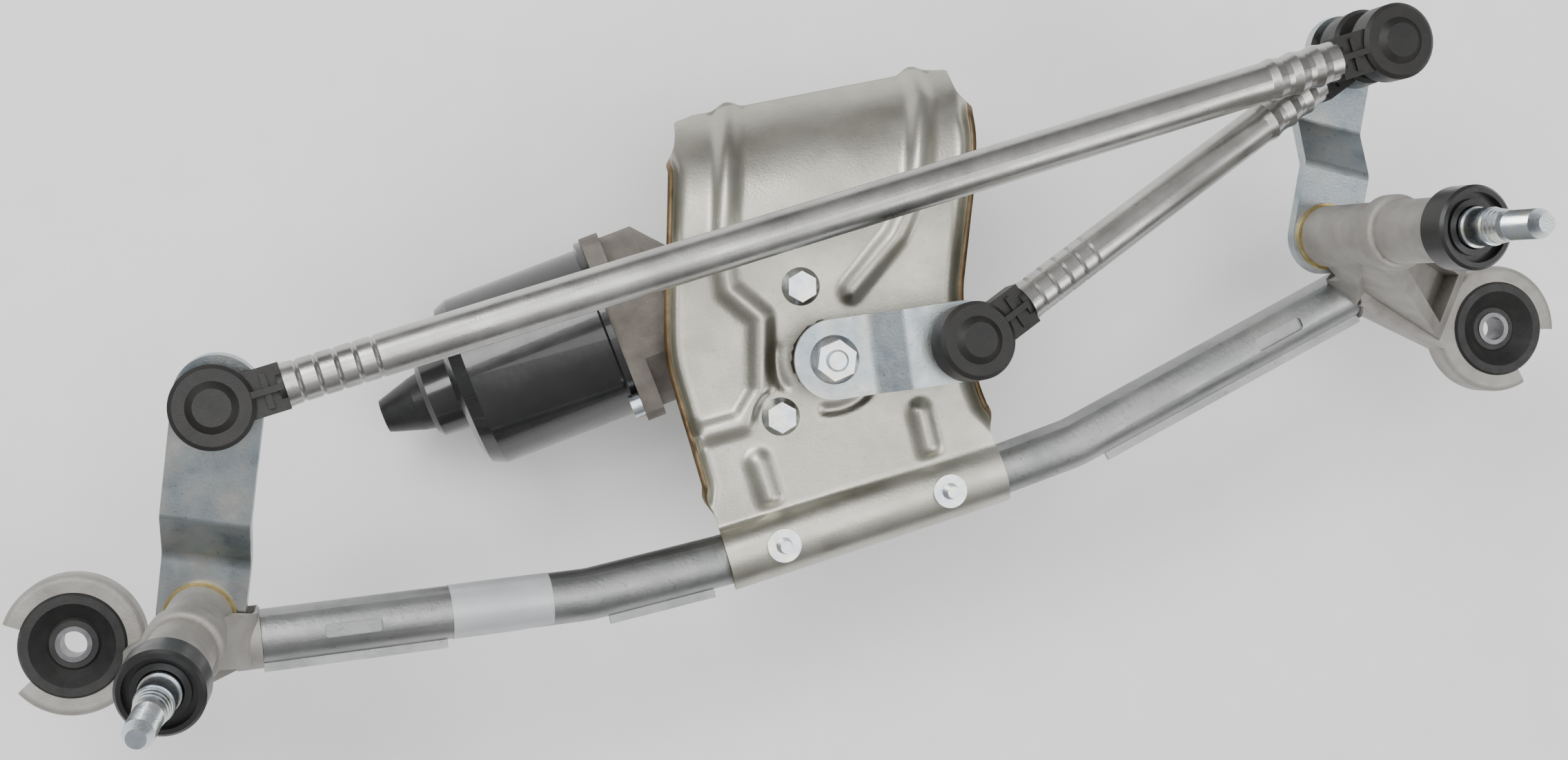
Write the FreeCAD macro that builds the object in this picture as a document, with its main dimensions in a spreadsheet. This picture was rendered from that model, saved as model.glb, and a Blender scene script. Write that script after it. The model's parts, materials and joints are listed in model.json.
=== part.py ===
import FreeCAD, Part
import math
import os
import re
import Sketcher
from FreeCAD import Placement, Rotation, Vector

# Windshield wiper assembly, millimetres.  Origin: midway between the two rubber grommets,
# in the plane of their front rims.  +X runs from the left grommet to the right one and +Z
# is the direction in which the mounting bolts leave.

os.makedirs("parts", exist_ok=True)
doc = FreeCAD.newDocument("wiper_assembly")

# ---------------------------------------------------------------- driving dimensions
SIZES = {
    # frame tube, oval seam and inserts
    "tube_radius": 9.5, "tube_wall": 1.5, "tube_bend": 45, "seam_depth": 3, "seam_thick": 2.2,
    "crimp_length": 20, "crimp_width": 5, "crimp_depth": 1.6,
    # mounting eyes
    "eye_x": 272, "eye_outer": 24.5, "eye_inner": 16.5, "eye_top": -1.2, "eye_bottom": -14.5,
    "eye_gap_angle": 60, "sleeve_bore": 4.5, "sleeve_outer": 6.2, "grommet_outer": 18.2,
    # pivots: the lever's top face is height 0 on each pivot axis
    "shaft_radius": 7, "bearing_outer": 11.4, "bearing_bore": 9, "bearing_foot": 1.2, "bush_length": 16,
    "collar_radius": 13.6, "collar_height": 8, "cap_radius": 14.5, "fit": 0.03, "pin_step": 0.5,
    "left_bearing_top": 61, "right_bearing_top": 81, "smooth_length": 9, "knurl_length": 8,
    "thread_radius": 5, "thread_length": 19,
    # levers and crank arm
    "plate": 4, "left_lever_width": 30, "right_lever_width": 28, "crank_width": 29,
    "left_lever_length": 80.86, "right_lever_length": 71.93, "crank_length": 47.53,
    "left_rise": 13.73, "right_rise": -11.2, "crank_rise": 5.14,
    # ball joints
    "ball_radius": 6.5, "ball_fit": 0.05, "neck_radius": 4, "foot_radius": 7.5, "ball_height": 11,
    "crank_ball_height": 12, "socket_radius": 14, "socket_rim": -5.8, "socket_top": 6.6,
    "boss_radius": 7, "boss_top": 8.4, "open_cup": 8.4, "cup_mouth": 9.8, "ball_spacing": 20.8,
    # link rods
    "rod_radius": 7.25, "rod_wall": 1.2, "rod_start": 24, "groove_depth": 0.6,
    # bracket
    "sheet": 2.2, "flange_height": 8, "bend_start": 50, "bend_radius": 55, "bend_angle": 62,
    "saddle_inner": 9.8, "hub_opening": 14,
    # output side, heights above the bracket's top face
    "bolt_circle": 28, "crank_top": 21, "output_radius": 6, "nose_radius": 12, "nose_top": 13,
    # gear housing and motor
    "worm_offset": 37.3, "worm_depth": -34, "wheel_radius": 30, "wheel_thick": 12, "case_radius": 36,
    "case_wall": 3.5, "case_bottom": -48, "case_top": -22, "can_radius": 33, "can_wall": 1.8,
    "can_start": 70, "can_end": 132, "core_radius": 24, "motor_shaft": 4, "worm_radius": 7,
}
sheet = doc.addObject("Spreadsheet::Sheet", "Sizes")
for row, (alias, value) in enumerate(SIZES.items(), 1):
    sheet.set("A%d" % row, alias)
    sheet.set("B%d" % row, str(value))
    sheet.setAlias("B%d" % row, alias)
doc.recompute()

pieces = []


def size(alias):
    return float(getattr(sheet, alias))


def formula(text):
    """Turn plain names into references to the sheet's cells."""
    return re.sub(r"[a-z]+(_[a-z]+)+|\b[a-z]{3,}\b", lambda word: "Sizes." + word.group(0), str(text))


def frame(origin, z_axis, x_hint=Vector(1, 0, 0)):
    z = Vector(z_axis)
    z.normalize()
    x = x_hint - z * x_hint.dot(z)
    x.normalize()
    return Placement(Vector(origin), Rotation(x, z.cross(x), z, "ZXY"))


def shifted(x=0, y=0, z=0, turn=0):
    return Placement(Vector(x, y, z), Rotation(Vector(0, 0, 1), turn))


def keep(name, thing, where=Placement()):
    """Name one physical piece and put it in place."""
    thing.Label = name
    thing.Placement = where * thing.Placement
    pieces.append(thing)
    return thing


# ---------------------------------------------------------------- building blocks
def primitive(kind, where, **dims):
    thing = doc.addObject("Part::" + kind, kind.lower())
    for prop, text in dims.items():
        thing.setExpression(prop, formula(text))
    thing.Placement = where
    return thing


def cylinder(radius, height, where=Placement()):
    return primitive("Cylinder", where, Radius=radius, Height=height)


def box(length, width, height, where=Placement()):
    return primitive("Box", where, Length=length, Width=width, Height=height)


def fuse(*things):
    joined = doc.addObject("Part::MultiFuse", "fuse")
    joined.Shapes = list(things)
    joined.Refine = True
    return joined


def group(*things):
    """Several separate solids in one node."""
    held = doc.addObject("Part::Compound", "group")
    held.Links = list(things)
    return held


def cut(base, *tools):
    left = doc.addObject("Part::Cut", "cut")
    left.Base = base
    left.Tool = tools[0] if len(tools) == 1 else fuse(*tools)
    return left


def sketch_on(body, role, outline):
    """A closed polygon, every corner held by two distances bound to the sheet."""
    plane = next(item for item in body.Origin.OriginFeatures if item.Role == role)
    sketch = body.newObject("Sketcher::SketchObject", "outline")
    sketch.AttachmentSupport = [(plane, "")]
    sketch.MapMode = "FlatFace"
    count = len(outline)
    start = [Vector(10 * math.cos(6.28 * i / count), 10 * math.sin(6.28 * i / count)) for i in range(count)]
    for i in range(count):
        sketch.addGeometry(Part.LineSegment(start[i], start[(i + 1) % count]), False)
    for i in range(count):
        sketch.addConstraint(Sketcher.Constraint("Coincident", i, 2, (i + 1) % count, 1))
    for i, (across, along) in enumerate(outline):
        for direction, value, text in (("DistanceX", start[i].x, across), ("DistanceY", start[i].y, along)):
            number = sketch.addConstraint(Sketcher.Constraint(direction, -1, 1, i, 1, value))
            sketch.setExpression("Constraints[%d]" % number, formula(text))
    return sketch


def turned(profile):
    """A piece turned about its own Z from (radius, height) corners."""
    body = doc.addObject("PartDesign::Body", "turned")
    sketch = sketch_on(body, "XZ_Plane", profile)
    turn = body.newObject("PartDesign::Revolution", "turn")
    turn.Profile = sketch
    turn.ReferenceAxis = (sketch, ["V_Axis"])
    turn.Angle = 360
    body.Tip = turn
    return body


def plate(outline, thickness):
    """A flat piece padded up from z = 0."""
    body = doc.addObject("PartDesign::Body", "plate")
    pad = body.newObject("PartDesign::Pad", "pad")
    pad.Profile = sketch_on(body, "XY_Plane", outline)
    pad.setExpression("Length", formula(thickness))
    body.Tip = pad
    return body


def tube(outer, inner, height, where=Placement()):
    ring = turned([(inner, 0), (outer, 0), (outer, height), (inner, height)])
    ring.Placement = where
    return ring


def formed(shape):
    """A bent or cast shape that no single feature describes."""
    thing = doc.addObject("Part::Feature", "formed")
    thing.Shape = shape
    return thing


def rounded_wire(points, radius, closed=True):
    """Straight runs joined by tangent arcs; radius may be one number or one for each corner."""
    count = len(points)
    radii = radius if isinstance(radius, (list, tuple)) else [radius] * count
    corners = range(count) if closed else range(1, count - 1)
    starts, ends, arcs = {}, {}, {}
    for i in corners:
        point = points[i]
        before = (points[i - 1] - point).normalize()
        after = (points[(i + 1) % count] - point).normalize()
        half = before.getAngle(after) / 2
        if radii[i] <= 0 or abs(half - math.pi / 2) < 1e-4:
            starts[i], ends[i], arcs[i] = point, point, None
            continue
        reach = radii[i] / math.tan(half)
        middle = point + (before + after).normalize() * (radii[i] / math.sin(half) - radii[i])
        starts[i], ends[i] = point + before * reach, point + after * reach
        arcs[i] = Part.Arc(starts[i], middle, ends[i]).toShape()
    edges = []
    for i in range(count if closed else count - 1):
        following = (i + 1) % count
        tail, head = ends.get(i, points[i]), starts.get(following, points[following])
        if (head - tail).Length > 1e-6:
            edges.append(Part.LineSegment(tail, head).toShape())
        if arcs.get(following) is not None:
            edges.append(arcs[following])
    return Part.Wire(edges)


def slab(points, radius, low, high):
    """A prism on a rounded plan outline."""
    wire = rounded_wire([Vector(x, y, low) for x, y in points], radius)
    return Part.Face(wire).extrude(Vector(0, 0, high - low))


def stadium(length, width, low, high):
    half = width / 2
    points = [(-half, -half), (length + half, -half), (length + half, half), (-half, half)]
    return slab(points, half - 0.001, low, high)


def rod(radius, start, finish):
    run = finish - start
    return Part.makeCylinder(radius, run.Length, start, run)


def tapered(start, finish, start_size, finish_size):
    """A web with upright ends: each size is (width, low z, high z)."""
    run = finish - start
    side = Vector(-run.y, run.x, 0).normalize()
    wires = []
    for point, (width, low, high) in ((start, start_size), (finish, finish_size)):
        left, right = point + side * (width / 2), point - side * (width / 2)
        corners = [Vector(p.x, p.y, z) for p, z in ((left, low), (right, low), (right, high), (left, high))]
        wires.append(Part.makePolygon(corners + corners[:1]))
    return Part.makeLoft(wires, True, True)


def pick(solid, test, radius):
    """Round the edges that pass the test, leaving them sharp where rounding fails."""
    edges = [edge for edge in solid.Edges if test(edge)]
    try:
        softened = solid.makeFillet(radius, edges)
        return softened if softened.isValid() and softened.Volume > 0 else solid
    except Exception:
        return solid


# ---------------------------------------------------------------- frames of reference
MOTOR_AXIS = Vector(-0.105, -0.0115, 0.994).normalize()
LEFT_AXIS = Vector(-0.148, -0.184, 0.972).normalize()
RIGHT_AXIS = Vector(0.123, -0.035, 0.992).normalize()
MOTOR_POINT = Vector(9.1, 42.9, -7)
LEFT_PIVOT = Vector(-227.8, 1.2, 8)
RIGHT_PIVOT = Vector(201.8, 49.6, 13)
CRANK_BALL = Vector(52.3, 39.9, 36)
LEFT_BALL = Vector(-206.4, 71.4, 50)
LOWER_BALL = Vector(229.2, 116.1, 12.2)
UPPER_BALL = LOWER_BALL + RIGHT_AXIS * size("ball_spacing")
TUBE_PATH = [Vector(-210, -11, 0), Vector(-95, -23.5, -10), Vector(-43, -23, -15),
             Vector(66, -12, -9), Vector(95, -8, -8), Vector(214, 26, -5)]

motor = frame(MOTOR_POINT, MOTOR_AXIS)
crank = frame(MOTOR_POINT, MOTOR_AXIS, CRANK_BALL - MOTOR_POINT)
left = frame(LEFT_PIVOT, LEFT_AXIS, LEFT_BALL - LEFT_PIVOT)
right = frame(RIGHT_PIVOT, RIGHT_AXIS, LOWER_BALL - RIGHT_PIVOT)
CAN_DIRECTION = Vector(-0.9857, -0.1686, 0)
worm_foot = Vector(-0.1686, 0.9857, 0) * size("worm_offset") + Vector(0, 0, size("worm_depth"))
worm_turn = Rotation(Vector(0, 0, 1).cross(CAN_DIRECTION), Vector(0, 0, 1), CAN_DIRECTION, "ZXY")
worm_local = Placement(worm_foot, worm_turn)
worm = motor * worm_local


# ---------------------------------------------------------------- frame tube
def make_frame_tube():
    radius, bend = size("tube_radius"), size("tube_bend")
    spine = rounded_wire(TUBE_PATH, bend, closed=False)
    heading = TUBE_PATH[1] - TUBE_PATH[0]
    solids = []
    for r in (radius, radius - size("tube_wall")):
        circle = Part.Wire(Part.makeCircle(r, TUBE_PATH[0], heading))
        solids.append(spine.makePipeShell([circle], True, False))
    shape = solids[0].cut(solids[1])
    for start, finish, trim_a, trim_b in ((0, 1, 0, 52), (1, 2, 6, 6), (4, 5, 10, 0)):
        a, b = TUBE_PATH[start], TUBE_PATH[finish]
        run = (b - a).normalize()
        length = (b - a).Length - trim_a - trim_b
        seam = Part.makeBox(length, radius + size("seam_depth"), size("seam_thick"))
        seam.translate(Vector(0, -radius - size("seam_depth"), -size("seam_thick") / 2))
        turn = Rotation(run, Vector(0, 1, 0), Vector(), "XYZ")
        seam.Placement = Placement(a + run * trim_a, turn) * seam.Placement
        shape = shape.fuse(seam.cut(rod(radius - 0.4, a, b)))
    for segment, share in ((0, 0.27), (4, 0.72)):
        a, b = TUBE_PATH[segment], TUBE_PATH[segment + 1]
        run = (b - a).normalize()
        dimple = slab([(-size("crimp_length") / 2, -size("crimp_width") / 2),
                       (size("crimp_length") / 2, -size("crimp_width") / 2),
                       (size("crimp_length") / 2, size("crimp_width") / 2),
                       (-size("crimp_length") / 2, size("crimp_width") / 2)], 1.5,
                      radius - size("crimp_depth") + 0.3, radius + 3)
        dimple.Placement = Placement(a + (b - a) * share, Rotation(run, Vector(), Vector(0, 0, 1), "XZY"))
        shape = shape.cut(dimple)
    return formed(shape)


keep("frame_tube", make_frame_tube())


# ---------------------------------------------------------------- pivot housings
def c_ring(eye, opening):
    """The open eye that grips the grommet's waist."""
    low, high, outer = size("eye_bottom"), size("eye_top"), size("eye_outer")
    ring = Part.makeCylinder(outer, high - low, eye + Vector(0, 0, low))
    ring = pick(ring, lambda edge: edge.Length > 10 and abs(edge.BoundBox.ZLength) < 0.01, 2.5)
    hole = Part.makeCylinder(size("eye_inner"), 40, eye + Vector(0, 0, low - 10))
    half = math.radians(size("eye_gap_angle") / 2)
    reach = outer * 2
    sides = [math.radians(opening) + a for a in (-half, half)]
    corners = [(0, 0)] + [(reach * math.cos(a), reach * math.sin(a)) for a in sides]
    wedge = slab([(eye.x + x, eye.y + y) for x, y in corners], 0, low - 10, high + 10)
    return ring.cut(hole).cut(wedge)


def make_housing(place, top, collar_at, eye, opening, webs, neck, pockets):
    shape = Part.makeCylinder(size("bearing_outer"), top - size("bearing_foot"), Vector(0, 0, size("bearing_foot")))
    collar = Part.makeCylinder(size("collar_radius"), size("collar_height"), Vector(0, 0, collar_at))
    shape = shape.fuse(pick(collar, lambda edge: edge.Length > 10, 1.8))
    shape.Placement = place
    for start, finish, start_size, finish_size in webs:
        shape = shape.fuse(tapered(start, finish, start_size, finish_size))
    end, run = neck
    shape = shape.fuse(rod(size("tube_radius") + 1.6, end + run * 0.2, end + run * 9))
    clear = Part.makeCylinder(17.6, 9.5 + size("bearing_foot"), Vector(0, 0, -9.5))
    bore = Part.makeCylinder(size("bearing_bore"), top + 20, Vector(0, 0, -8))
    for tool in (clear, bore):
        tool.Placement = place
        shape = shape.cut(tool)
    shape = shape.cut(rod(size("tube_radius") + 0.05, end - run * 40, end))
    shape = shape.fuse(rod(size("tube_radius") - size("tube_wall") - 0.05, end - run * 30, end + run * 4))
    for start, finish, start_size, finish_size in pockets:
        shape = shape.cut(tapered(start, finish, start_size, finish_size))
    shape = shape.cut(Part.makeCylinder(size("eye_inner") + 1.5, 60, eye + Vector(0, 0, -30)))
    return formed(shape.fuse(c_ring(eye, opening)).removeSplitter())


left_eye = Vector(-size("eye_x"), 0, 0)
right_eye = Vector(size("eye_x"), 0, 0)
left_run = (TUBE_PATH[0] - TUBE_PATH[1]).normalize()
right_run = (TUBE_PATH[5] - TUBE_PATH[4]).normalize()
left_webs = [
    (Vector(-229, -5, 0), Vector(-258, -19, 0), (17, 2, 44), (26, size("eye_bottom"), 0)),
    (Vector(-229, -5, 0), Vector(-212, -10.8, 0), (17, 4, 36), (19, -9, 10)),
    (Vector(-214, -11, 0), Vector(-252, -22, 0), (14, -9, 8), (14, size("eye_bottom"), -3)),
]
left_pockets = [(Vector(-241, -12, 0), Vector(-256, -19, 0), (8, 14, 60), (14, -6, 40))]
keep("left_pivot_housing", make_housing(left, size("left_bearing_top"), 26, left_eye, 180, left_webs,
                                        (TUBE_PATH[0], left_run), left_pockets))
right_webs = [
    (Vector(204, 48, 0), Vector(255, 13, 0), (19, 14, 62), (30, size("eye_bottom"), 0)),
    (Vector(204, 48, 0), Vector(221, 28.5, 0), (19, 14, 48), (22, -13, 5)),
    (Vector(219, 27.5, 0), Vector(258, 1, 0), (16, -13, 5), (18, size("eye_bottom"), -2)),
]
right_pockets = [(Vector(217, 39, 0), Vector(251, 16, 0), (9, 30, 80), (20, -6, 50))]
keep("right_pivot_housing", make_housing(right, size("right_bearing_top"), 40, right_eye, -42, right_webs,
                                         (TUBE_PATH[5], right_run), right_pockets))

# ---------------------------------------------------------------- grommets and sleeves
for side, eye in (("left", left_eye), ("right", right_eye)):
    place = Placement(eye, Rotation())
    keep(side + "_grommet", turned([
        ("sleeve_outer", -16), ("grommet_outer + 1", -16), ("grommet_outer + 1", "eye_bottom - 0.1"),
        ("eye_inner - 0.05", "eye_bottom - 0.1"), ("eye_inner - 0.05", "eye_top + 0.1"),
        ("grommet_outer", "eye_top + 0.1"), ("grommet_outer - 0.8", 0), (14.5, 0), (9, -5.5),
        (8.2, -4.5), ("sleeve_outer", -4.5)]), place)
    keep(side + "_mount_sleeve", turned([("sleeve_bore", -16.6), ("sleeve_outer", -16.6),
                                         ("sleeve_outer", -4), ("sleeve_bore", -4)]), place)


# ---------------------------------------------------------------- spindles and their small parts
def spindle(top):
    """Riveted foot, bearing journal, splined cone and threaded end."""
    profile = [(0, -8.5), (7.5, -8.5), (9, -6.5), (9, "-plate"), ("shaft_radius", "-plate")]
    cap_front = "%s + 11" % top
    pin = "shaft_radius - pin_step"
    profile += [("shaft_radius", cap_front + " + 0.2"), (pin, cap_front + " + 0.2"),
                (pin, cap_front + " + smooth_length")]
    for step in range(4):
        low = "%s + smooth_length + %d" % (cap_front, 2 * step)
        spline = "%s - %.2f" % (pin, 0.4 + 0.25 * step)
        profile += [(spline, low), (spline, low + " + 1.4")]
    thread = "%s + smooth_length + knurl_length" % cap_front
    for turn_number in range(12):
        height = 1 + 1.25 * turn_number
        profile += [("thread_radius - 0.65", "%s + %.3f" % (thread, height)),
                    ("thread_radius", "%s + %.3f" % (thread, height + 0.62))]
    profile += [("thread_radius - 0.7", thread + " + thread_length - 2.2"),
                ("thread_radius - 1.8", thread + " + thread_length"), (0, thread + " + thread_length")]
    return turned(profile)


for side, place, top in (("left", left, "left_bearing_top"), ("right", right, "right_bearing_top")):
    keep(side + "_spindle", spindle(top), place)
    for end, level in (("lower", size("bearing_foot")), ("upper", size(top) - size("bush_length"))):
        keep("%s_%s_bush" % (side, end), tube("bearing_bore", "shaft_radius + fit", "bush_length"),
             place * shifted(z=level))
    keep(side + "_lever_washer", tube(12.5, "shaft_radius + fit", 0.9), place * shifted(z=0.15))
    keep(side + "_thrust_washer", tube(10.4, "shaft_radius + fit", 0.8), place * shifted(z=size(top) + 0.1))
    keep(side + "_circlip", tube(10, "shaft_radius", 1.2), place * shifted(z=size(top) + 1.3))
    keep(side + "_cap", turned([
        ("bearing_outer + 0.05", "%s - 1.5" % top), ("cap_radius - 0.8", "%s - 1.5" % top),
        ("cap_radius", "%s - 0.7" % top), ("cap_radius", "%s + 10" % top), ("cap_radius - 1", "%s + 11" % top),
        ("cap_radius - 2.6", "%s + 11" % top), ("cap_radius - 2.6", "%s + 8" % top), (9.6, "%s + 8" % top),
        (9.6, "%s + 9.4" % top), (7.4, "%s + 9.4" % top), (7.4, "%s + 5" % top),
        ("bearing_outer + 0.05", "%s + 3.4" % top)]), place)


# ---------------------------------------------------------------- pressed levers and crank arm
def z_plate(width, length, rise, bend_from, bend_to, top, holes):
    """A flat strip with one Z bend, its ends rounded, cut from plate."""
    thick, half = size("plate"), width / 2
    upper = [(-half - 1, 0), (bend_from, 0), (bend_to, rise), (length + half + 1, rise)]
    lean = thick * math.tan(math.atan2(rise, bend_to - bend_from) / 2)
    lower = [(length + half + 1, rise - thick), (bend_to + lean, rise - thick), (bend_from + lean, -thick),
             (-half - 1, -thick)]
    radii = [0, 6, 3.5, 0, 0, 6, 3.5, 0]
    points = [Vector(x, -half, z + top) for x, z in upper + lower]
    strip = Part.Face(rounded_wire(points, radii)).extrude(Vector(0, width, 0))
    shape = strip.common(stadium(length, width, top - 40, top + 40))
    for x, radius in holes:
        shape = shape.cut(Part.makeCylinder(radius, 90, Vector(x, 0, top - 45)))
    return formed(shape)


keep("left_lever", z_plate(size("left_lever_width"), size("left_lever_length"), size("left_rise"), 21, 38, 0,
                           [(0, size("shaft_radius")), (size("left_lever_length"), size("neck_radius"))]), left)
keep("right_lever", z_plate(size("right_lever_width"), size("right_lever_length"), size("right_rise"), 26, 43, 0,
                            [(0, size("shaft_radius")), (size("right_lever_length"), size("neck_radius"))]), right)
keep("crank_arm", z_plate(size("crank_width"), size("crank_length"), size("crank_rise"), 14, 26, size("crank_top"),
                          [(0, 5), (size("crank_length"), size("neck_radius"))]), crank)


# ---------------------------------------------------------------- ball studs, each about its lower ball's centre
def stud(foot, tail, second=None):
    """Rivet tail, hexagon-like foot, neck and one or two balls."""
    things = [cylinder("neck_radius - 1.2", "%s" % (-foot), shifted(z=foot)),
              cylinder("foot_radius", 1.6, shifted(z=foot)), primitive("Sphere", Placement(), Radius="ball_radius")]
    if tail:
        things += [cylinder("neck_radius", "plate + 0.8", shifted(z=foot - size("plate") - 0.8)),
                   cylinder(6, 1.4, shifted(z=foot - size("plate") - 1.4))]
    if second:
        things += [cylinder("neck_radius - 1.2", "ball_spacing"),
                   primitive("Sphere", shifted(z=size("ball_spacing")), Radius="ball_radius")]
    return fuse(*things)


keep("left_ball_stud", stud(-size("ball_height"), True), frame(LEFT_BALL, LEFT_AXIS, LEFT_BALL - LEFT_PIVOT))
keep("right_double_ball_stud", stud(-size("ball_height") - 0.45, True, True),
     frame(LOWER_BALL, RIGHT_AXIS, LOWER_BALL - RIGHT_PIVOT))
keep("crank_ball_stud", stud(-size("crank_ball_height") + 0.8, False),
     frame(CRANK_BALL, MOTOR_AXIS, CRANK_BALL - MOTOR_POINT))
keep("crank_ball_rivet", cylinder("neck_radius", "plate + 1", shifted(
    x=size("crank_length"), z=size("crank_top") + size("crank_rise") - size("plate") - 1)), crank)


# ---------------------------------------------------------------- links: rod and two moulded sockets
def socket(cup, depth, through=False):
    """Round cup with a raised centre, a ribbed neck along +X and a spigot for the rod."""
    skin = turned([(0, "socket_rim"), ("socket_radius - 0.6", "socket_rim"), ("socket_radius", "socket_rim + 1"),
                   ("socket_radius", "socket_top - 1.2"), ("socket_radius - 1.4", "socket_top"),
                   ("boss_radius + 1.6", "socket_top"), ("boss_radius", "boss_top - 0.6"),
                   ("boss_radius - 0.8", "boss_top"), (0, "boss_top")])
    neck = box(14, 16, 9.6, shifted(x=10, y=-8, z=-5.2))
    rib = box(13.5, 2.2, 11.6, shifted(x=10, y=-1.1, z=-5.2))
    cross = box(2, 12, 10.9, shifted(x=17, y=-6, z=-5.2))
    spigot = cylinder("rod_radius - rod_wall - 0.05", 16, Placement(
        Vector(22, 0, 0), Rotation(Vector(0, 1, 0), 90)))
    hollow = primitive("Sphere", Placement(), Radius=cup)
    mouth = primitive("Cone", shifted(z=-12), Radius1="cup_mouth + 1.5", Radius2=depth, Height="12 - 3")
    tools = [hollow, mouth] + ([cylinder(5, 20)] if through else [])
    return cut(fuse(skin, neck, rib, cross, spigot), *tools)


def link_rod(length):
    """Tube with rolled grooves where it is crimped on its two sockets."""
    outer, groove = "rod_radius", "rod_radius - groove_depth"
    profile = [("rod_radius - rod_wall", "rod_start"), (outer + " + 0.3", "rod_start")]
    for step in range(5):
        mid = "rod_start + %.1f" % (5 + 6.5 * step)
        profile += [(outer, mid + " - 0.9"), (groove, mid), (outer, mid + " + 0.9")]
    for step in range(3):
        mid = "%.3f - rod_start - %.1f" % (length, 26 - 9 * step)
        profile += [(outer, mid + " - 3.4"), (outer + " + 0.7", mid), (outer, mid + " + 3.4")]
    profile += [(outer, "%.3f - rod_start" % length), ("rod_radius - rod_wall", "%.3f - rod_start" % length)]
    return turned(profile)


def make_link(name, start, finish, start_axis, start_cup, finish_cup):
    run = finish - start
    keep(name + "_rod", link_rod(run.Length), frame(start, run, start_axis))
    ends = (("left", start, run, start_cup), ("right", finish, -run, finish_cup))
    for end, ball, heading, cup in ends:
        normal = start_axis - run * (start_axis.dot(run) / run.Length ** 2)
        mouth = "cup_mouth" if cup == "open_cup" else "ball_radius - 0.6"
        keep("%s_%s_socket" % (name, end), socket(cup, mouth, finish == LOWER_BALL and ball == finish),
             frame(ball, normal, heading))


make_link("long_link", LEFT_BALL, UPPER_BALL, Vector(0, 0, 1), "open_cup", "ball_radius + ball_fit")
make_link("drive_link", CRANK_BALL, LOWER_BALL, MOTOR_AXIS, "ball_radius + ball_fit", "ball_radius + ball_fit")


# ---------------------------------------------------------------- motor bracket
BRACKET_PLAN = [(-50, -66), (-54, -24), (-58, 13), (-54, 31), (-32, 112), (68, 112), (69, 71), (62, 48),
                (50.4, 11), (50, -22), (56, -55)]
RIBS = [[(-15, 104), (-31, 43), (-31.3, 31.6), (-21.5, 19.3), (-27, -7.4), (-36, -17.3), (-60, -19)],
        [(55, 106), (54.7, 87), (44.4, 55), (33.4, 39.2), (13.2, 22.7)],
        [(-33, -32.6), (-31.3, -47)], [(29.7, -26.7), (30.4, -42)]]


def strip(low, high):
    """The pressing's side view, flat and then curling back, as a band measured off its top face."""
    bend, start = size("bend_radius"), size("bend_start")
    sweep = math.radians(size("bend_angle"))

    def course(offset):
        reach = bend + offset
        at = [Vector(-90, start + reach * math.sin(share * sweep), reach * math.cos(share * sweep) - bend)
              for share in (0, 0.5, 1)]
        first = Vector(-90, -80, offset)
        return [Part.LineSegment(first, at[0]).toShape(), Part.Arc(at[0], at[1], at[2]).toShape()], first, at[2]

    upper, upper_near, upper_far = course(high)
    lower, lower_near, lower_far = course(low)
    caps = [Part.LineSegment(upper_near, lower_near).toShape(), Part.LineSegment(upper_far, lower_far).toShape()]
    wire = Part.Wire(Part.__sortEdges__(upper + lower + caps))
    return Part.Face(wire).extrude(Vector(180, 0, 0))


def track(route, half):
    """An upright prism that follows a rib's route with rounded corners."""
    shape = None
    for start, finish in zip(route, route[1:]):
        a, b = Vector(start[0], start[1], -90), Vector(finish[0], finish[1], -90)
        leg = Part.makeBox((b - a).Length, 2 * half, 180, Vector(0, -half, 0))
        leg.Placement = Placement(a, Rotation(b - a, Vector(), Vector(0, 0, 1), "XZY"))
        leg = leg.fuse([Part.makeCylinder(half, 180, a), Part.makeCylinder(half, 180, b)])
        shape = leg if shape is None else shape.fuse(leg)
    return shape


def along_tube(share):
    start, run = TUBE_PATH[2], TUBE_PATH[3] - TUBE_PATH[2]
    return frame(start + run * share, Vector(0, 0, 1) - run * (run.z / run.Length ** 2), run)


rivet_places = [along_tube(0.2), along_tube(0.79)]


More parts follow.
